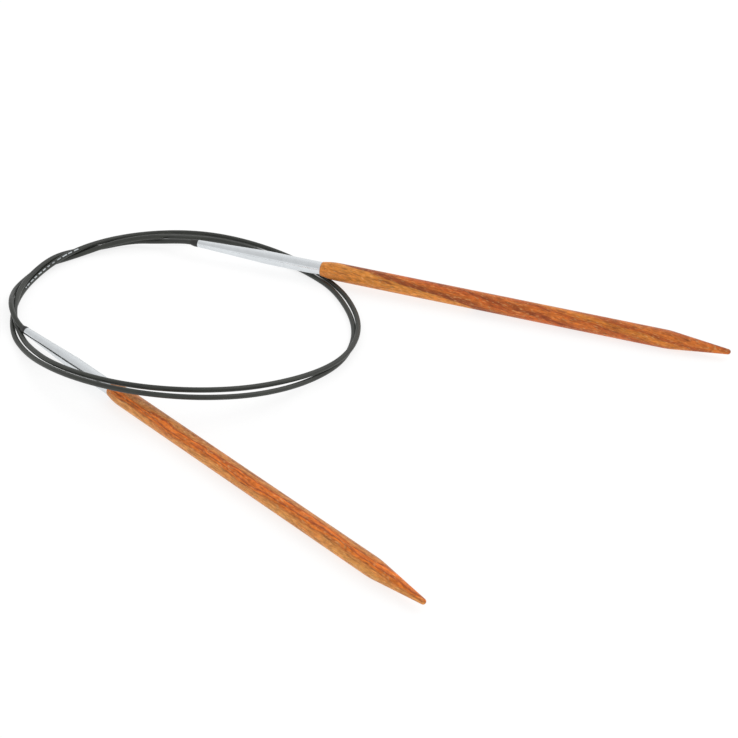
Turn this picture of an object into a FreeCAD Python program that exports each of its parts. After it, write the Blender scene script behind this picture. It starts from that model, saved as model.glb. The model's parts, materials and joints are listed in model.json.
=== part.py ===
import FreeCAD, Part
import math
import os

# Circular knitting needle: two wooden tips joined by one thin cable, lying coiled on a table.
# Millimetres, +Z up. The table is z = 0, and the origin is on it, near the middle of the box
# around the two tips. Each tip is modelled along its own axis, with z = 0 at the mouth of its
# ferrule and the point of the needle at +Z, and is then laid down where it rests.

# Wooden shafts
needle_diameter = 4.0        # full width of the shaft: the size that the needle is sold by
shaft_length = 91.2          # wood in the open, from the ferrule to the end of the point
taper_length = 14.2          # from full width to the end of the point
taper_blend_length = 2.0     # the part of the taper that curves in before the straight cone
point_radius = 0.58          # rounded end of the point
shoulder_length = 4.0        # the wood swells to full width over this length
shoulder_step = 0.07         # the wood stands this far proud of the ferrule where they meet
tenon_diameter = 2.2         # the reduced end that is glued into the ferrule
tenon_length = 8.0

# Ferrules
ferrule_length = 29.6
ferrule_diameter = 2.96
ferrule_taper_length = 17.0  # from the mouth to the straight stretch
mouth_diameter = 1.6
neck_length = 9.0            # narrow bore behind the mouth, which takes the bush
glue_gap = 0.5               # between the end of the tenon and the bottom of its socket
edge_chamfer = 0.1           # broken edges of the ferrule, the tenon and the crimp

# Cable, and the crimps that hold its ends inside the ferrules
cable_diameter = 1.1
crimp_diameter = 1.75
crimp_length = 4.0
crimp_groove_depth = 0.1
crimp_groove_width = 0.7
crimp_groove_count = 2
crimp_end_gap = 0.05         # between the crimp and the step at the end of the neck
chamber_clearance = 0.075    # around the crimp, inside the ferrule

# Swivel bushes
running_clearance = 0.05     # around the cable, inside the bush
bush_wall = 0.1
sleeve_length = 6.0          # pressed into the neck
collar_length = 1.6          # stands out of the mouth
collar_overhang = 0.02       # the collar is this much wider than the mouth, on each side
nose_length = 0.8            # the outer part of the collar, which tapers down to the cable
nose_wall = 0.06             # left round the bore at the end of the nose

# How the tips lie. The front tip is level, and the back tip lies across the cable, so it
# leans on the table with the edge where its taper starts.
front_mouth_xy = (-73.12, 26.75)
front_azimuth = -47.07       # degrees from +X
back_mouth_xy = (-38.98, 60.42)
back_azimuth = -20.04
back_tilt = 0.76             # degrees that the ferrule's end is up

# Straight run of the cable outside each mouth
front_lead = 2.2
back_lead = 2.2

# Where the free cable runs between the two leads: x, y and the height of its underside over
# the table. It makes two turns and a half, over its own ends and the front shaft.
cable_route = [
    (-76.7, 31.6, 2.6),      # out of the front ferrule, over the two strands that come back
    (-77.7, 36.2, 3.0),
    (-78.5, 43.6, 0.5),
    (-73.7, 55.3, 0.0),      # under both
    (-67.8, 59.0, 0.0),
    (-58.4, 62.6, 1.3),
    (-48.9, 64.4, 2.4),      # over the end that enters the back ferrule
    (-41.9, 68.2, 0.2),
    (-32.9, 66.2, 0.0),
    (-24.4, 61.2, 0.2),      # under the back ferrule
    (-13.4, 51.8, 0.0),
    (-7.7, 44.1, 0.1),
    (-3.4, 30.5, 0.0),
    (-5.5, 18.2, 0.0),       # under the outer strand
    (-12.8, 8.6, 1.0),
    (-22.9, -1.1, 4.3),
    (-34.8, -5.7, 6.8),      # over the front shaft
    (-46.8, -4.5, 7.2),
    (-57.4, 1.1, 6.0),
    (-65.9, 9.1, 3.8),
    (-72.8, 20.0, 0.4),
    (-77.1, 29.1, 0.0),
    (-77.5, 43.1, 0.0),
    (-71.6, 55.2, 0.8),      # over two strands
    (-63.6, 62.1, 1.8),
    (-52.9, 69.6, 0.2),
    (-41.0, 70.4, 0.0),
    (-30.5, 67.3, 0.0),
    (-19.0, 60.1, 0.0),      # under the back ferrule and its shaft
    (-11.1, 51.6, 0.0),
    (-5.3, 42.6, 0.0),
    (-2.4, 29.5, 0.7),
    (-5.1, 18.2, 1.2),       # over the inner strand
    (-11.6, 10.0, 2.0),
    (-23.0, 1.7, 4.3),
    (-34.5, -2.9, 6.6),      # over the front shaft
    (-47.0, -2.4, 7.3),
    (-57.8, 3.1, 6.2),
    (-66.4, 11.5, 3.8),
    (-71.8, 20.6, 1.5),
    (-74.5, 26.9, 0.1),      # under the front ferrule's mouth
    (-77.0, 33.6, 1.4),
    (-77.0, 44.7, 1.3),      # over the strand from the front ferrule
    (-73.7, 52.9, 1.6),
    (-69.7, 59.4, 1.0),
    (-61.5, 64.2, 0.0),      # under two strands
    (-53.5, 65.8, 0.1),
    (-48.0, 64.7, 0.7),      # up to the back ferrule
    (-44.5, 62.8, 1.6),
]

# Radii and places along a tip's axis that follow from the sizes above
needle_radius = needle_diameter / 2
tenon_radius = tenon_diameter / 2
ferrule_radius = ferrule_diameter / 2
mouth_radius = mouth_diameter / 2
cable_radius = cable_diameter / 2
crimp_radius = crimp_diameter / 2
bush_bore_radius = cable_radius + running_clearance
sleeve_radius = bush_bore_radius + bush_wall
collar_radius = mouth_radius + collar_overhang
chamber_radius = crimp_radius + chamber_clearance
crimp_start = neck_length + crimp_end_gap
cable_end = crimp_start + crimp_length
taper_start = ferrule_length + shaft_length - taper_length


def vec(point):
    return FreeCAD.Vector(*point)


def line(start, end):
    return Part.LineSegment(start, end).toShape()


def arc(start, middle, end):
    return Part.Arc(start, middle, end).toShape()


def turned(edges):
    """Solid of revolution about Z from edges in the XZ plane that close a profile."""
    face = Part.Face(Part.Wire(Part.__sortEdges__(edges)))
    return face.revolve(vec((0, 0, 0)), vec((0, 0, 1)), 360)


def turned_outline(corners):
    """Solid of revolution from (radius, height) corners joined by straight lines."""
    points = [vec((radius, 0, height)) for radius, height in corners]
    return turned([line(a, b) for a, b in zip(points, points[1:] + points[:1])])


def rim_point(centre, radius, angle):
    """Point at an angle from +X on a circle in the XZ plane."""
    return centre + vec((radius * math.cos(angle), 0, radius * math.sin(angle)))


def cone_angle():
    """Half angle of the cone that runs from the blend to the rounded point, by bisection."""
    point_centre = taper_length - point_radius
    low, high = 0.0, math.pi / 4
    for _ in range(60):
        angle = (low + high) / 2
        radius = needle_radius - taper_blend_length * math.tan(angle / 2)
        reach = radius * math.cos(angle) - (point_centre - taper_blend_length) * math.sin(angle)
        if reach > point_radius:
            low = angle
        else:
            high = angle
    return angle


def wood_needle():
    """Tenon, shoulder, full-width shaft and tapered point, turned from one rod."""
    joint_radius = ferrule_radius + shoulder_step
    tenon_end = ferrule_length - tenon_length
    swell = needle_radius - joint_radius
    shoulder_radius = (swell ** 2 + shoulder_length ** 2) / (2 * swell)
    shoulder_centre = vec((needle_radius - shoulder_radius, 0, ferrule_length + shoulder_length))
    shoulder_angle = -math.asin(shoulder_length / shoulder_radius)

    angle = cone_angle()
    blend_radius = taper_blend_length / math.sin(angle)
    blend_centre = vec((needle_radius - blend_radius, 0, taper_start))
    point_centre = vec((0, 0, ferrule_length + shaft_length - point_radius))
    square = math.pi / 2

    tenon_face = vec((0, 0, tenon_end))
    tenon_rim = vec((tenon_radius - edge_chamfer, 0, tenon_end))
    tenon_side = vec((tenon_radius, 0, tenon_end + edge_chamfer))
    tenon_root = vec((tenon_radius, 0, ferrule_length))
    joint_rim = rim_point(shoulder_centre, shoulder_radius, shoulder_angle)
    shoulder_top = rim_point(shoulder_centre, shoulder_radius, 0)
    shaft_top = rim_point(blend_centre, blend_radius, 0)
    blend_end = rim_point(blend_centre, blend_radius, angle)
    cone_end = rim_point(point_centre, point_radius, angle)
    apex = rim_point(point_centre, point_radius, square)
    return turned([
        line(tenon_face, tenon_rim),
        line(tenon_rim, tenon_side),
        line(tenon_side, tenon_root),
        line(tenon_root, joint_rim),
        arc(joint_rim, rim_point(shoulder_centre, shoulder_radius, shoulder_angle / 2), shoulder_top),
        line(shoulder_top, shaft_top),
        arc(shaft_top, rim_point(blend_centre, blend_radius, angle / 2), blend_end),
        line(blend_end, cone_end),
        arc(cone_end, rim_point(point_centre, point_radius, (angle + square) / 2), apex),
        line(apex, tenon_face),
    ])


def ferrule():
    """Tapered metal tube: neck for the bush, chamber for the crimp, socket for the wood."""
    socket_end = ferrule_length - tenon_length - glue_gap
    return turned_outline([
        (sleeve_radius, 0),
        (mouth_radius, 0),
        (ferrule_radius, ferrule_taper_length),
        (ferrule_radius, ferrule_length - edge_chamfer),
        (ferrule_radius - edge_chamfer, ferrule_length),
        (tenon_radius, ferrule_length),
        (tenon_radius, socket_end),
        (chamber_radius, socket_end),
        (chamber_radius, neck_length),
        (sleeve_radius, neck_length),
    ])


def swivel_bush():
    """Black bush: a sleeve in the ferrule's neck, and a collar with a tapered nose outside."""
    return turned_outline([
        (bush_bore_radius + nose_wall, -collar_length),
        (collar_radius, nose_length - collar_length),
        (collar_radius, 0),
        (sleeve_radius, 0),
        (sleeve_radius, sleeve_length),
        (bush_bore_radius, sleeve_length),
        (bush_bore_radius, -collar_length),
    ])


def cable_end_crimp():
    """Sleeve pressed on the end of the cable, with rolled grooves that grip it."""
    outline = [
        (cable_radius, crimp_start),
        (crimp_radius - edge_chamfer, crimp_start),
        (crimp_radius, crimp_start + edge_chamfer),
    ]
    pitch = crimp_length / (crimp_groove_count + 1)
    for index in range(crimp_groove_count):
        middle = crimp_start + pitch * (index + 1)
        outline.append((crimp_radius, middle - crimp_groove_width / 2))
        outline.append((crimp_radius - crimp_groove_depth, middle - crimp_groove_width / 4))
        outline.append((crimp_radius - crimp_groove_depth, middle + crimp_groove_width / 4))
        outline.append((crimp_radius, middle + crimp_groove_width / 2))
    outline.append((crimp_radius, cable_end - edge_chamfer))
    outline.append((crimp_radius - edge_chamfer, cable_end))
    outline.append((cable_radius, cable_end))
    return turned_outline(outline)


def tip_placement(mouth_xy, mouth_height, azimuth, tilt):
    """Placement that lays a tip down, its mouth at a point and its needle along an azimuth."""
    level = math.cos(math.radians(tilt))
    along = vec((
        level * math.cos(math.radians(azimuth)),
        level * math.sin(math.radians(azimuth)),
        -math.sin(math.radians(tilt)),
    ))
    turn = FreeCAD.Rotation(vec((0, 0, 1)), along)
    return FreeCAD.Placement(vec((*mouth_xy, mouth_height)), turn)


def rounded_path(points):
    """Straight runs joined by tangent arcs, each as large as its two runs allow."""
    edges = []
    radii = []
    start = points[0]
    for before, corner, after in zip(points, points[1:], points[2:]):
        run_in = corner - before
        run_out = after - corner
        trim = 0.45 * min(run_in.Length, run_out.Length)
        way_in = FreeCAD.Vector(run_in).normalize()
        way_out = FreeCAD.Vector(run_out).normalize()
        half_turn = way_in.getAngle(way_out) / 2
        radius = trim / math.tan(half_turn)
        arc_start = corner - way_in * trim
        arc_end = corner + way_out * trim
        inward = (way_out - way_in).normalize()
        arc_middle = corner + inward * (radius / math.cos(half_turn) - radius)
        edges.append(line(start, arc_start))
        edges.append(arc(arc_start, arc_middle, arc_end))
        radii.append(radius)
        start = arc_end
    edges.append(line(start, points[-1]))
    return edges, radii


def cable(front, back):
    """The cable from crimp to crimp: its free route, and a straight end in each ferrule."""
    front_mouth = front.multVec(vec((0, 0, 0)))
    back_mouth = back.multVec(vec((0, 0, 0)))
    free = [vec((x, y, cable_radius + lift)) for x, y, lift in cable_route]
    points = [front_mouth, front.multVec(vec((0, 0, -front_lead)))]
    points += free
    points += [back.multVec(vec((0, 0, -back_lead))), back_mouth]
    route_edges, radii = rounded_path(points)

    front_end = front.multVec(vec((0, 0, cable_end)))
    back_end = back.multVec(vec((0, 0, cable_end)))
    edges = [line(front_end, front_mouth)] + route_edges + [line(back_mouth, back_end)]
    path = Part.Wire(edges)
    section = Part.Wire(Part.makeCircle(cable_radius, front_end, front_mouth - front_end))
    solid = path.makePipeShell([section], True, False)

    free_length = sum(edge.Length for edge in route_edges)
    expected = math.pi * cable_radius ** 2 * path.Length
    print("cable radii, mm:", " ".join("%.1f" % radius for radius in radii))
    print("smallest radius %.1f mm" % min(radii))
    print("free cable %.1f mm, cut length %.1f mm" % (free_length, path.Length))
    print("cable volume over section times length: %.5f" % (solid.Volume / expected))
    return solid


def save(shape, name):
    shape.exportStep("parts/%s.step" % name)
    print("%-22s %3d solid, %9.3f mm3" % (name, len(shape.Solids), shape.Volume))


front_tip = tip_placement(front_mouth_xy, needle_radius, front_azimuth, 0)
back_lean = math.radians(back_tilt)
back_mouth_height = needle_radius * math.cos(back_lean) + taper_start * math.sin(back_lean)
back_tip = tip_placement(back_mouth_xy, back_mouth_height, back_azimuth, back_tilt)

tip_pieces = {
    "wood_needle": wood_needle,
    "ferrule": ferrule,
    "swivel_bush": swivel_bush,
    "cable_end_crimp": cable_end_crimp,
}

os.makedirs("parts", exist_ok=True)
for side, placement in (("front", front_tip), ("back", back_tip)):
    for piece, make in tip_pieces.items():
        shape = make()
        shape.Placement = placement
        save(shape, "%s_%s" % (piece, side))
save(cable(front_tip, back_tip), "cable")
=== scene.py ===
import json
import math

import bpy
from mathutils import Matrix, Vector


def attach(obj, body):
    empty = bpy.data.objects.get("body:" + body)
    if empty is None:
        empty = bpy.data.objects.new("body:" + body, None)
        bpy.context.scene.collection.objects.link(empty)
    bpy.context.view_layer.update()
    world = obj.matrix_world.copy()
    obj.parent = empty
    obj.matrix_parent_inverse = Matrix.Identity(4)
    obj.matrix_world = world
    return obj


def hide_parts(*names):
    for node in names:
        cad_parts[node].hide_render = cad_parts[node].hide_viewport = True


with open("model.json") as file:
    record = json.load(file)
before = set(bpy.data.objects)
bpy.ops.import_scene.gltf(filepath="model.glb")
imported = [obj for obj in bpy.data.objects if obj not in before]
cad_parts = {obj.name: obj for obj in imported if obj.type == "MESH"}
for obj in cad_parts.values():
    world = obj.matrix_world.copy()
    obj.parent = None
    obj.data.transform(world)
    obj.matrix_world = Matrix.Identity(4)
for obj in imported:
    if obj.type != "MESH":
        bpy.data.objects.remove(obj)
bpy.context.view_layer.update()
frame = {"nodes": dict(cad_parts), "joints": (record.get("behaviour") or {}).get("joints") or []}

# Circular knitting needle: two tips turned from dyed hardwood, in satin aluminium ferrules that
# swivel on the ends of a thin black nylon cable. Metres, +Z up, lying on a table at z = 0.

MM = 0.001

# Cable: its diameter, how far its ends reach into the ferrules, its straight run outside each
# ferrule's mouth, how many flats its tube has round it, and how many short lengths of tube it
# has for each point of its route.
CABLE_DIAMETER = 1.1 * MM
CABLE_IN_FERRULE = 13.05 * MM
FRONT_LEAD = 2.2 * MM
BACK_LEAD = 2.3 * MM
CABLE_SIDES = 20
CABLE_STEPS = 12
CABLE_UV = "along_and_round"

# Route of the free cable between the two leads: x, y and the height of its underside over the
# table, in metres. These are the control points of a NURBS spline. They follow the solid cable's
# points, with some moved and one added where the strands lie close together on the left.
CABLE_ROUTE = [
    (-0.0766, 0.0316, 0.0025),      # out of the front ferrule, over the two strands that come back
    (-0.0778, 0.0363, 0.0028),
    (-0.0782, 0.0436, 0.0009),
    (-0.0770, 0.0484, 0.0003),
    (-0.0734, 0.0553, 0.0002),      # under both
    (-0.0672, 0.0593, 0.0),
    (-0.0582, 0.0632, 0.0015),
    (-0.0489, 0.0638, 0.0029),      # over the end that enters the back ferrule
    (-0.0407, 0.0677, 0.0001),
    (-0.0327, 0.0660, 0.0),
    (-0.0245, 0.0613, 0.0002),      # under the back ferrule
    (-0.0139, 0.0522, 0.0),
    (-0.0078, 0.0444, 0.0001),
    (-0.0034, 0.0306, 0.0),
    (-0.0055, 0.0181, 0.0),         # under the outer strand
    (-0.0130, 0.0084, 0.0010),
    (-0.0231, -0.0011, 0.0043),
    (-0.0349, -0.0057, 0.0068),     # over the front shaft
    (-0.0470, -0.0044, 0.0072),
    (-0.0573, 0.0010, 0.0061),
    (-0.0657, 0.0089, 0.0039),
    (-0.0727, 0.0198, 0.0005),
    (-0.0771, 0.0291, 0.0),
    (-0.0776, 0.0432, 0.0),
    (-0.0716, 0.0552, 0.0009),      # over two strands
    (-0.0638, 0.0619, 0.0018),
    (-0.0534, 0.0696, 0.0),
    (-0.0413, 0.0704, 0.0),
    (-0.0303, 0.0672, 0.0),
    (-0.0188, 0.0600, 0.0),         # under the back ferrule and its shaft
    (-0.0111, 0.0515, 0.0),
    (-0.0054, 0.0427, 0.0),
    (-0.0025, 0.0298, 0.0007),
    (-0.0049, 0.0185, 0.0012),      # over the inner strand
    (-0.0114, 0.0102, 0.0020),
    (-0.0228, 0.0018, 0.0043),
    (-0.0345, -0.0030, 0.0067),     # over the front shaft
    (-0.0470, -0.0024, 0.0073),
    (-0.0579, 0.0032, 0.0061),
    (-0.0664, 0.0116, 0.0038),
    (-0.0716, 0.0201, 0.0016),
    (-0.0744, 0.0266, 0.0001),      # under the front ferrule's mouth
    (-0.0770, 0.0335, 0.0014),
    (-0.0770, 0.0450, 0.0013),      # over the strand from the front ferrule
    (-0.0729, 0.0544, 0.0016),
    (-0.0688, 0.0595, 0.0011),
    (-0.0624, 0.0630, 0.0),         # under two strands
    (-0.0546, 0.0654, 0.0005),
    (-0.0484, 0.0646, 0.0009),      # up to the back ferrule
    (-0.0441, 0.0629, 0.0020),
]

# Camera: over the front edge of the table, looking down at the coil. Its lens and sensor are in
# millimetres, and its clip distances in metres.
CAMERA_TARGET = Vector((-0.87 * MM, 15.48 * MM, 0))
CAMERA_ELEVATION = math.radians(34.138)
CAMERA_DISTANCE = 458.0 * MM
CAMERA_LENS = 107.67
CAMERA_SENSOR = 36
CAMERA_CLIP = (0.01, 20)

# Marks printed on the cable: a row of plain white dashes, between two places along the free
# cable. Each dash is its own share of the full length, between the two shares given. The row is
# on one side of the cable, at so much of a turn round it from its underside.
MARKS_START = 248.5 * MM
MARKS_END = 266.5 * MM
MARK_PITCH = 1.6 * MM
MARK_LENGTH = 1.1 * MM
MARK_SHARES = (0.5, 1.2)
MARK_WIDTH = 0.25 * MM
MARKS_TURN = 0.395
MARK_INK = "C6CDD0"

# Veneers of the two needles: the roll of the blank round its axis, in radians, the rise of the
# layers along it, in mm for each mm, the seed of its grain, the weight of its varnish, and the
# dye of each layer by its height over the mouth of the ferrule, in mm.
FRONT_VENEERS = {
    "roll": -0.03,
    "slope": -0.009,
    "seed": 4.0,
    "varnish": 0.12,
    "layers": [
        (-3.0, "C8803E"),
        (-2.4, "D89448"),
        (-1.9, "CC8440"),
        (-1.5, "D8904A"),
        (-1.1, "BC6A32"),
        (-0.75, "E47A28"),
        (-0.5, "A85228"),
        (-0.2, "D87430"),
        (0.1, "EC7A28"),
        (0.35, "A65026"),
        (0.6, "C87C3C"),
        (1.0, "C68246"),
        (1.4, "AC6836"),
        (2.0, "CE965C"),
    ],
}
BACK_VENEERS = {
    "roll": 0.59,
    "slope": 0.12,
    "seed": 11.0,
    "varnish": 0.2,
    "layers": [
        (1.5, "D07C32"),
        (5.7, "D88A3A"),
        (5.95, "94481E"),
        (6.6, "984A1E"),
        (7.2, "C46826"),
        (7.9, "C86022"),
        (8.6, "98461C"),
        (9.6, "CC6C28"),
        (10.6, "B05420"),
        (11.6, "D8822E"),
        (12.6, "A64E1C"),
        (13.6, "CC702A"),
        (15.0, "B0541F"),
    ],
}

# Patterns of the cable, in mm: width round it and length along it, and the lines' height. The
# die's lines are really a few hundredths of a millimetre wide, too fine to show, and are drawn
# coarser. The patches are near their real size.
DIE_LINES = (0.0917, 8.333)
DIE_LINE_HEIGHT = 0.02
HANDLED_PATCHES = (0.611, 3.1746)

# Patterns of the wood, in mm: width across the grain and length along it. The glue lines wander
# by parts of the distances given, across the blank. Fibres and pores are really under 0.1 mm
# wide, too fine to show, and are drawn coarser. The rest is near its real size.
GLUE_LINE_WAVES = (2.222, 13.89)
GLUE_LINE_WANDER = (2.0, 2.6, 0.0)
STREAKS = (0.7692, 7.692)
DARK_STREAK = "86401A"
BRIGHT_STREAK = "E07A2C"
FIBRES = (0.3125, 1.4205)
FIBRE_HEIGHT = 0.02
PORES = (0.2174, 0.9881)
PALE_PORE = "E0B074"

# Patterns of the ferrules, bushes and crimps, in mm. The lathe's rings are really about 0.05 mm
# apart and 0.001 mm high, and the mould's skin 0.02 mm across. Both are too fine to show, and are
# drawn coarser. The patches are near their real size, and as wide as they are long.
LATHE_RINGS = 0.2857
LATHE_RING_HEIGHT = 0.003
TUMBLED_PATCHES = 1.4286
MOULDED_SKIN = 0.2
MOULDED_SKIN_HEIGHT = 0.02
DULLED_PATCHES = 0.8333

# Nearly all values of a noise lie between these two.
LOW = 0.3
HIGH = 0.7

# Table and light: how much of its brightness the table gives off itself, the places and sizes in
# metres, and the lamp's power in watts. The room's bright side is high up at the back right. Its
# greys run from straight away from that side, at 0, where the room is bright too, over the dimmer
# walls between, to that side itself, at 1.
TABLE_WIDTH = 6.0
TABLE_GLOW = 0.72
TABLE_STRENGTH = 1.08
LAMP_PLACE = (1.0, 0.25, 1.2)
LAMP_WIDTH = 1.0
LAMP_POWER = 4.5
ROOM_STRENGTH = 1.15
ROOM_BRIGHT_SIDE = (0.45, 0.7, 0.5)
ROOM_GREYS = [
    (0.1, "FDFDFD"),
    (0.18, "E9E9E9"),
    (0.25, "D5D5D5"),
    (0.3, "D1D1D1"),
    (0.44, "D5D5D5"),
    (0.61, "D7D7D7"),
    (0.71, "DCDCDC"),
    (0.82, "E3E3E3"),
    (0.9, "EBEBEB"),
    (1.0, "FFFFFF"),
]


def colour(hex_code):
    """Linear RGBA of an sRGB hex colour."""
    channels = [int(hex_code[i:i + 2], 16) / 255 for i in (0, 2, 4)]
    linear = [c / 12.92 if c <= 0.04045 else ((c + 0.055) / 1.055) ** 2.4 for c in channels]
    return (*linear, 1.0)


def add(tree, kind, inputs=None, **settings):
    """Adds a shader node. inputs gives a value, or the socket that feeds it, for each input.

    Stops are a ramp's positions and hex colours, in order. MapRange takes a value in 0, its low
    and high in 1 and 2, and what these become in 3 and 4. Mix takes its colours in 6 and 7.
    """
    node = tree.nodes.new("ShaderNode" + kind)
    for name, value in settings.items():
        if name == "stops":
            elements = node.color_ramp.elements
            for element, (position, hex_code) in zip(elements, (value[0], value[-1])):
                element.position = position
                element.color = colour(hex_code)
            for position, hex_code in value[1:-1]:
                elements.new(position).color = colour(hex_code)
        else:
            setattr(node, name, value)
    for key, value in (inputs or {}).items():
        if isinstance(value, bpy.types.NodeSocket):
            tree.links.new(value, node.inputs[key])
        else:
            node.inputs[key].default_value = value
    return node


def new_material(name):
    """An empty node material, its tree and its output node."""
    material = bpy.data.materials.new(name)
    material.use_nodes = True
    material.node_tree.nodes.clear()
    return material, material.node_tree, add(material.node_tree, "OutputMaterial")


def drawn_out(size):
    """Factors for coordinates in mm that draw a pattern out along a piece, to its own length."""
    width, length = size
    return (1, 1, width / length)


def joint_named(name):
    """Where a joint is and the direction of its axis."""
    for joint in frame["joints"]:
        if joint["name"] == name:
            return Vector(joint["pos_m"]), Vector(joint["axis"]).normalized()
    raise ValueError("no joint " + name)


front_mouth, front_axis = joint_named("front_tip_swivel")
back_mouth, back_axis = joint_named("back_tip_swivel")


# --- camera -----------------------------------------------------------------------------------

def make_camera():
    """The camera, level from left to right."""
    data = bpy.data.cameras.new("camera")
    data.lens = CAMERA_LENS
    data.sensor_width = CAMERA_SENSOR
    data.clip_start, data.clip_end = CAMERA_CLIP
    camera = bpy.data.objects.new("camera", data)
    bpy.context.scene.collection.objects.link(camera)
    back = Vector((0, -math.cos(CAMERA_ELEVATION), math.sin(CAMERA_ELEVATION)))
    camera.location = CAMERA_TARGET + back * CAMERA_DISTANCE
    camera.rotation_mode = "QUATERNION"
    camera.rotation_quaternion = (-back).to_track_quat("-Z", "Y")
    bpy.context.scene.camera = camera


# --- cable ------------------------------------------------------------------------------------

def route_line():
    """Points along the free cable, read from a NURBS spline with the route's control points."""
    radius = CABLE_DIAMETER / 2
    points = [front_mouth, front_mouth - front_axis * FRONT_LEAD]
    points += [Vector((x, y, radius + lift)) for x, y, lift in CABLE_ROUTE]
    points += [back_mouth - back_axis * BACK_LEAD, back_mouth]
    curve = bpy.data.curves.new("cable_route", "CURVE")
    curve.dimensions = "3D"
    spline = curve.splines.new("NURBS")
    spline.points.add(len(points) - 1)
    for place, point in zip(spline.points, points):
        place.co = (*point, 1)
    spline.order_u = 3
    spline.use_endpoint_u = True
    spline.resolution_u = CABLE_STEPS
    holder = bpy.data.objects.new("cable_route", curve)
    mesh = bpy.data.meshes.new_from_object(holder)
    line = [vertex.co.copy() for vertex in mesh.vertices]
    bpy.data.objects.remove(holder)
    bpy.data.curves.remove(curve)
    bpy.data.meshes.remove(mesh)
    return line


def tube_mesh(name, line, radius, sides):
    """Closed tube round a line. Its UV map runs 0 to 1 along it and once round it from below."""
    distances = [0.0]
    for a, b in zip(line, line[1:]):
        distances.append(distances[-1] + (b - a).length)
    vertices = []
    for index, point in enumerate(line):
        before = line[max(index - 1, 0)]
        after = line[min(index + 1, len(line) - 1)]
        along = (after - before).normalized()
        side = along.cross(Vector((0, 0, 1))).normalized()
        up = side.cross(along)
        for step in range(sides):
            angle = 2 * math.pi * step / sides
            vertices.append(point - up * radius * math.cos(angle) + side * radius * math.sin(angle))
    faces = []
    corners = []
    for index in range(len(line) - 1):
        near, far = distances[index] / distances[-1], distances[index + 1] / distances[-1]
        for step in range(sides):
            following = (step + 1) % sides
            row, next_row = index * sides, (index + 1) * sides
            faces.append((row + step, row + following, next_row + following, next_row + step))
            low, high = step / sides, (step + 1) / sides
            corners += [(near, low), (near, high), (far, high), (far, low)]
    last = (len(line) - 1) * sides
    faces.append(tuple(reversed(range(sides))))
    corners += [(0, 0)] * sides
    faces.append(tuple(range(last, last + sides)))
    corners += [(1, 0)] * sides
    mesh = bpy.data.meshes.new(name)
    mesh.from_pydata(vertices, [], faces)
    uv_map = mesh.uv_layers.new(name=CABLE_UV)
    for loop, corner in zip(uv_map.data, corners):
        loop.uv = corner
    mesh.shade_smooth()
    mesh.validate()
    return mesh, distances[-1]


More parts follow.
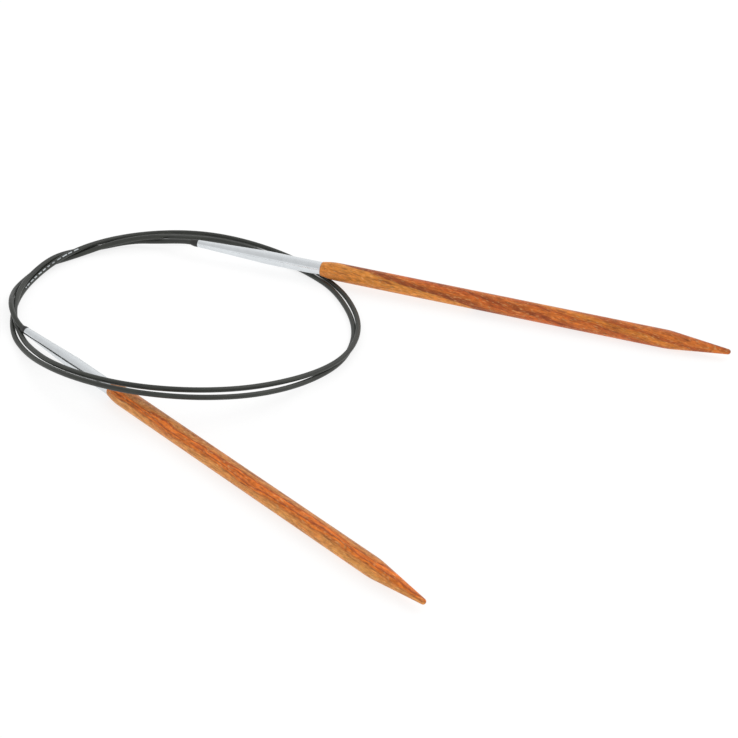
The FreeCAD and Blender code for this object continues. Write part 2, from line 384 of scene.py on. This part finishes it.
def nylon_cable(length):
    """Extruded nylon, dyed black: satin and a little grey, with faint lines along it from the die,
    cloudy patches from handling, and a row of printed white dashes with worn ink."""
    material, tree, output = new_material("extruded_black_nylon")
    uv = add(tree, "UVMap", uv_map=CABLE_UV).outputs[0]
    parts = add(tree, "SeparateXYZ", {0: uv})
    share_along, around = parts.outputs[0], parts.outputs[1]
    along = add(tree, "Math", {0: share_along, 1: length / MM}, operation="MULTIPLY").outputs[0]

    # millimetres round the cable and along it, so that the patterns close up on themselves
    turn = add(tree, "Math", {0: around, 1: 2 * math.pi}, operation="MULTIPLY").outputs[0]
    sine = add(tree, "Math", {0: turn}, operation="SINE").outputs[0]
    cosine = add(tree, "Math", {0: turn}, operation="COSINE").outputs[0]
    ring = add(tree, "CombineXYZ", {0: sine, 1: cosine, 2: along}).outputs[0]
    radius = CABLE_DIAMETER / 2 / MM
    place = add(tree, "VectorMath", {
        0: ring, 1: (radius, radius, 1),
    }, operation="MULTIPLY").outputs[0]

    # die lines: long along the cable, fine round it
    drawn = drawn_out(DIE_LINES)
    drawn = add(tree, "VectorMath", {0: place, 1: drawn}, operation="MULTIPLY").outputs[0]
    lines = add(tree, "TexNoise", {
        "Vector": drawn, "Scale": 1 / DIE_LINES[0], "Detail": 3.0,
    }).outputs[0]
    # handling: cloudy patches a few millimetres long
    drawn = drawn_out(HANDLED_PATCHES)
    drawn = add(tree, "VectorMath", {0: place, 1: drawn}, operation="MULTIPLY").outputs[0]
    patches = add(tree, "TexNoise", {
        "Vector": drawn, "Scale": 1 / HANDLED_PATCHES[0], "Detail": 4.0,
    }).outputs[0]

    tone = add(tree, "ValToRGB", {0: patches}, stops=[
        (LOW, "282A27"),
        (0.72, "353832"),
    ]).outputs[0]
    lined = add(tree, "MapRange", {0: lines, 1: LOW, 2: HIGH, 3: 0.86, 4: 1.14}).outputs[0]
    body = add(tree, "VectorMath", {0: tone, 1: lined}, operation="MULTIPLY").outputs[0]

    # marks: a row from where the printing starts to where it ends
    start = (CABLE_IN_FERRULE + MARKS_START) / MM
    end = (CABLE_IN_FERRULE + MARKS_END) / MM
    after = add(tree, "Math", {0: along, 1: start}, operation="GREATER_THAN").outputs[0]
    before = add(tree, "Math", {0: along, 1: end}, operation="LESS_THAN").outputs[0]
    row = add(tree, "Math", {0: after, 1: before}, operation="MULTIPLY").outputs[0]
    # dashes, each inked for its own share of the pitch
    pitches = add(tree, "Math", {0: along, 1: MARK_PITCH / MM}, operation="DIVIDE").outputs[0]
    phase = add(tree, "Math", {0: pitches}, operation="FRACT").outputs[0]
    count = add(tree, "Math", {0: pitches}, operation="FLOOR").outputs[0]
    uneven = add(tree, "TexWhiteNoise", {"W": count}, noise_dimensions="1D").outputs[0]
    shortest, longest = [share * MARK_LENGTH / MARK_PITCH for share in MARK_SHARES]
    share = add(tree, "MapRange", {0: uneven, 3: shortest, 4: longest}).outputs[0]
    inked = add(tree, "Math", {0: phase, 1: share}, operation="LESS_THAN").outputs[0]
    # in a narrow band on one side
    off_line = add(tree, "Math", {0: around, 1: MARKS_TURN}, operation="SUBTRACT").outputs[0]
    off_line = add(tree, "Math", {0: off_line}, operation="ABSOLUTE").outputs[0]
    half_band = MARK_WIDTH / (math.pi * CABLE_DIAMETER) / 2
    in_band = add(tree, "Math", {0: off_line, 1: half_band}, operation="LESS_THAN").outputs[0]
    mark = add(tree, "Math", {0: inked, 1: in_band}, operation="MULTIPLY").outputs[0]
    mark = add(tree, "Math", {0: mark, 1: row}, operation="MULTIPLY").outputs[0]
    # and the ink is worn where the cable was handled
    worn = add(tree, "MapRange", {0: patches, 1: 0.35, 2: 0.6, 3: 0.55, 4: 1.0}).outputs[0]
    mark = add(tree, "Math", {0: mark, 1: worn}, operation="MULTIPLY").outputs[0]
    surface = add(tree, "Mix", {0: mark, 6: body, 7: colour(MARK_INK)}, data_type="RGBA").outputs[2]

    rough = add(tree, "MapRange", {0: patches, 1: LOW, 2: HIGH, 3: 0.4, 4: 0.5}).outputs[0]
    bump = add(tree, "Bump", {
        "Height": lines, "Strength": 0.25, "Distance": DIE_LINE_HEIGHT * MM,
    }).outputs[0]
    shader = add(tree, "BsdfPrincipled", {
        "Base Color": surface, "Roughness": rough, "IOR": 1.53, "Normal": bump,
        "Specular IOR Level": 0.4,
    })
    tree.links.new(shader.outputs[0], output.inputs[0])
    return material


def make_cable():
    """The cable, from its end inside one ferrule to its end inside the other."""
    front_end = front_mouth + front_axis * CABLE_IN_FERRULE
    back_end = back_mouth + back_axis * CABLE_IN_FERRULE
    line = [front_end] + route_line() + [back_end]
    mesh, length = tube_mesh("nylon_cable", line, CABLE_DIAMETER / 2, CABLE_SIDES)
    cable = bpy.data.objects.new("nylon_cable", mesh)
    bpy.context.scene.collection.objects.link(cable)
    mesh.materials.append(nylon_cable(length))
    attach(cable, "cable")
    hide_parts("cable")


# --- finishes of the turned pieces ------------------------------------------------------------

def turned_coordinates(tree, mouth, axis, roll=0.0):
    """Millimetres in a tip's own frame: Z runs from the ferrule's mouth to the needle's point."""
    place = add(tree, "TexCoord").outputs["Object"]
    upright = Vector((0, 0, 1)).rotation_difference(axis).to_matrix()
    turn = (upright @ Matrix.Rotation(roll, 3, "Z")).to_euler()
    return add(tree, "Mapping", {
        "Vector": place, "Location": mouth, "Rotation": turn, "Scale": (MM, MM, MM),
    }, vector_type="TEXTURE").outputs[0]


def varnished_hardwood(side, mouth, axis, veneers):
    """Dyed hardwood veneers, glued, turned and varnished: layers of orange, tan and red-brown that
    cross the needle at a slant, with short fibres and pale pores, under a satin varnish."""
    material, tree, output = new_material("varnished_dyed_hardwood_" + side)
    local = turned_coordinates(tree, mouth, axis, veneers["roll"])
    seed = veneers["seed"]

    # layers, whose glue lines wander
    drawn = drawn_out(GLUE_LINE_WAVES)
    drawn = add(tree, "VectorMath", {0: local, 1: drawn}, operation="MULTIPLY").outputs[0]
    drift = add(tree, "TexNoise", {
        "Vector": drawn, "W": seed, "Scale": 1 / GLUE_LINE_WAVES[0], "Detail": 2.0,
    }, noise_dimensions="4D").outputs[1]
    drift = add(tree, "VectorMath", {0: drift, 1: (0.5, 0.5, 0.5)}, operation="SUBTRACT").outputs[0]
    drift = add(tree, "VectorMath", {
        0: drift, 1: GLUE_LINE_WANDER,
    }, operation="MULTIPLY").outputs[0]
    waved = add(tree, "VectorMath", {0: local, 1: drift}, operation="ADD").outputs[0]
    slant = (0, 1, veneers["slope"])
    layer = add(tree, "VectorMath", {0: waved, 1: slant}, operation="DOT_PRODUCT").outputs[1]
    first, last = veneers["layers"][0][0], veneers["layers"][-1][0]
    depth = add(tree, "MapRange", {0: layer, 1: first, 2: last}).outputs[0]
    stops = [((at - first) / (last - first), dye) for at, dye in veneers["layers"]]
    tone = add(tree, "ValToRGB", {0: depth}, stops=stops).outputs[0]

    # grain: long along the layers, fine across them
    parts = add(tree, "SeparateXYZ", {0: waved})
    grain = add(tree, "CombineXYZ", {0: parts.outputs[0], 1: layer, 2: parts.outputs[2]}).outputs[0]
    drawn = drawn_out(STREAKS)
    drawn = add(tree, "VectorMath", {0: grain, 1: drawn}, operation="MULTIPLY").outputs[0]
    streaks = add(tree, "TexNoise", {
        "Vector": drawn, "W": seed + 1, "Scale": 1 / STREAKS[0], "Detail": 3.0, "Roughness": 0.6,
    }, noise_dimensions="4D").outputs[0]
    drawn = drawn_out(FIBRES)
    drawn = add(tree, "VectorMath", {0: grain, 1: drawn}, operation="MULTIPLY").outputs[0]
    fibres = add(tree, "TexNoise", {
        "Vector": drawn, "W": seed + 3, "Scale": 1 / FIBRES[0], "Detail": 3.0, "Roughness": 0.6,
    }, noise_dimensions="4D").outputs[0]
    drawn = drawn_out(PORES)
    drawn = add(tree, "VectorMath", {0: grain, 1: drawn}, operation="MULTIPLY").outputs[0]
    pores = add(tree, "TexNoise", {
        "Vector": drawn, "W": seed + 7, "Scale": 1 / PORES[0], "Detail": 1.0,
    }, noise_dimensions="4D").outputs[0]

    # dark and bright streaks, pale filled pores, and fibres lighter or darker than the dye
    dark = add(tree, "MapRange", {0: streaks, 1: 0.44, 2: 0.3, 3: 0.0, 4: 0.75}).outputs[0]
    tone = add(tree, "Mix", {0: dark, 6: tone, 7: colour(DARK_STREAK)}, data_type="RGBA").outputs[2]
    bright = add(tree, "MapRange", {0: streaks, 1: 0.55, 2: 0.7, 3: 0.0, 4: 0.7}).outputs[0]
    tone = add(tree, "Mix", {
        0: bright, 6: tone, 7: colour(BRIGHT_STREAK),
    }, data_type="RGBA").outputs[2]
    pale = add(tree, "MapRange", {0: pores, 1: 0.56, 2: 0.72, 3: 0.0, 4: 0.45}).outputs[0]
    tone = add(tree, "Mix", {0: pale, 6: tone, 7: colour(PALE_PORE)}, data_type="RGBA").outputs[2]
    shade = add(tree, "MapRange", {0: fibres, 1: LOW, 2: HIGH, 3: 0.6, 4: 1.38}).outputs[0]
    surface = add(tree, "VectorMath", {0: tone, 1: shade}, operation="MULTIPLY").outputs[0]

    rough = add(tree, "MapRange", {0: fibres, 1: LOW, 2: HIGH, 3: 0.5, 4: 0.38}).outputs[0]
    bump = add(tree, "Bump", {
        "Height": fibres, "Strength": 0.3, "Distance": FIBRE_HEIGHT * MM,
    }).outputs[0]
    shader = add(tree, "BsdfPrincipled", {
        "Base Color": surface, "Roughness": rough, "IOR": 1.5, "Normal": bump,
        "Specular IOR Level": 0.15, "Coat Weight": veneers["varnish"], "Coat Roughness": 0.25,
    })
    tree.links.new(shader.outputs[0], output.inputs[0])
    return material


def turned_aluminium(side, mouth, axis):
    """Anodised aluminium, turned and tumbled: a pale soft sheen, with faint rings from the lathe
    and patches that the tumbling left duller."""
    material, tree, output = new_material("turned_anodised_aluminium_" + side)
    local = turned_coordinates(tree, mouth, axis)
    parts = add(tree, "SeparateXYZ", {0: local})
    height = add(tree, "CombineXYZ", {2: parts.outputs[2]}).outputs[0]
    rings = add(tree, "TexNoise", {
        "Vector": height, "Scale": 1 / LATHE_RINGS, "Detail": 3.0,
    }).outputs[0]
    patches = add(tree, "TexNoise", {
        "Vector": local, "Scale": 1 / TUMBLED_PATCHES, "Detail": 4.0,
    }).outputs[0]
    tone = add(tree, "ValToRGB", {0: patches}, stops=[
        (LOW, "D7DBDE"),
        (HIGH, "DFE3E6"),
    ]).outputs[0]
    rough = add(tree, "MapRange", {0: patches, 1: LOW, 2: HIGH, 3: 0.17, 4: 0.22}).outputs[0]
    bump = add(tree, "Bump", {
        "Height": rings, "Strength": 0.1, "Distance": LATHE_RING_HEIGHT * MM,
    }).outputs[0]
    shader = add(tree, "BsdfPrincipled", {
        "Base Color": tone, "Metallic": 1.0, "Roughness": rough, "Normal": bump,
    })
    tree.links.new(shader.outputs[0], output.inputs[0])
    return material


def black_acetal():
    """Moulded black acetal of the bushes: close to matt, with the fine skin of its mould."""
    material, tree, output = new_material("moulded_black_acetal")
    place = add(tree, "TexCoord").outputs["Object"]
    skin = add(tree, "TexNoise", {
        "Vector": place, "Scale": 1 / (MOULDED_SKIN * MM), "Detail": 3.0,
    }).outputs[0]
    tone = add(tree, "ValToRGB", {0: skin}, stops=[
        (0.35, "1D1D1C"),
        (0.65, "292927"),
    ]).outputs[0]
    rough = add(tree, "MapRange", {0: skin, 1: LOW, 2: HIGH, 3: 0.42, 4: 0.58}).outputs[0]
    bump = add(tree, "Bump", {
        "Height": skin, "Strength": 0.2, "Distance": MOULDED_SKIN_HEIGHT * MM,
    }).outputs[0]
    shader = add(tree, "BsdfPrincipled", {
        "Base Color": tone, "Roughness": rough, "IOR": 1.48, "Normal": bump,
    })
    tree.links.new(shader.outputs[0], output.inputs[0])
    return material


def rolled_brass():
    """Rolled brass of the crimps, which lie inside the ferrules: yellow, bright where it was
    pressed and dulled in patches by handling."""
    material, tree, output = new_material("rolled_brass")
    place = add(tree, "TexCoord").outputs["Object"]
    dulling = add(tree, "TexNoise", {
        "Vector": place, "Scale": 1 / (DULLED_PATCHES * MM), "Detail": 4.0,
    }).outputs[0]
    tone = add(tree, "ValToRGB", {0: dulling}, stops=[
        (0.35, "B08D4C"),
        (0.65, "D9BC78"),
    ]).outputs[0]
    rough = add(tree, "MapRange", {0: dulling, 1: LOW, 2: HIGH, 3: 0.42, 4: 0.24}).outputs[0]
    shader = add(tree, "BsdfPrincipled", {"Base Color": tone, "Metallic": 1.0, "Roughness": rough})
    tree.links.new(shader.outputs[0], output.inputs[0])
    return material


def finish_tips():
    """Gives every piece of both tips its finish."""
    acetal = black_acetal()
    brass = rolled_brass()
    tips = (
        ("front", front_mouth, front_axis, FRONT_VENEERS),
        ("back", back_mouth, back_axis, BACK_VENEERS),
    )
    for side, mouth, axis, veneers in tips:
        finishes = {
            "wood_needle": varnished_hardwood(side, mouth, axis, veneers),
            "ferrule": turned_aluminium(side, mouth, axis),
            "swivel_bush": acetal,
            "cable_end_crimp": brass,
        }
        for piece, material in finishes.items():
            data = frame["nodes"][piece + "_" + side].data
            data.materials.clear()
            data.materials.append(material)


# --- table and light --------------------------------------------------------------------------

def make_table():
    """Table painted matt white. It also gives off light, so that the shadows on it are faint."""
    half = TABLE_WIDTH / 2
    corners = [(-half, -half, 0), (half, -half, 0), (half, half, 0), (-half, half, 0)]
    mesh = bpy.data.meshes.new("table")
    mesh.from_pydata(corners, [], [(0, 1, 2, 3)])
    table = bpy.data.objects.new("table", mesh)
    bpy.context.scene.collection.objects.link(table)
    material, tree, output = new_material("matt_white_paint")
    plain = add(tree, "BsdfDiffuse", {0: colour("F7F7F7")}).outputs[0]
    glow = add(tree, "Emission", {0: colour("FFFFFF"), 1: TABLE_STRENGTH}).outputs[0]
    mixed = add(tree, "MixShader", {0: TABLE_GLOW, 1: plain, 2: glow}).outputs[0]
    tree.links.new(mixed, output.inputs[0])
    mesh.materials.append(material)


def make_light():
    """A bright room, dimmer half-way round, and a soft lamp high up on the right."""
    data = bpy.data.lights.new("lamp", "AREA")
    data.shape = "SQUARE"
    data.size = LAMP_WIDTH
    data.energy = LAMP_POWER
    lamp = bpy.data.objects.new("lamp", data)
    lamp.location = LAMP_PLACE
    lamp.rotation_mode = "QUATERNION"
    lamp.rotation_quaternion = (-Vector(LAMP_PLACE)).to_track_quat("-Z", "Y")
    bpy.context.scene.collection.objects.link(lamp)

    world = bpy.data.worlds.new("room")
    bpy.context.scene.world = world
    world.use_nodes = True
    tree = world.node_tree
    tree.nodes.clear()
    output = add(tree, "OutputWorld")
    direction = add(tree, "TexCoord").outputs["Generated"]
    facing = add(tree, "VectorMath", {
        0: direction, 1: ROOM_BRIGHT_SIDE,
    }, operation="DOT_PRODUCT").outputs[1]
    depth = add(tree, "MapRange", {0: facing, 1: -1.0, 2: 1.0}).outputs[0]
    room = add(tree, "ValToRGB", {0: depth}, stops=ROOM_GREYS).outputs[0]
    lit = add(tree, "Background", {0: room, 1: ROOM_STRENGTH}).outputs[0]
    tree.links.new(lit, output.inputs[0])


make_camera()
make_cable()
finish_tips()
make_table()
make_light()
bpy.context.scene.view_settings.view_transform = "Standard"
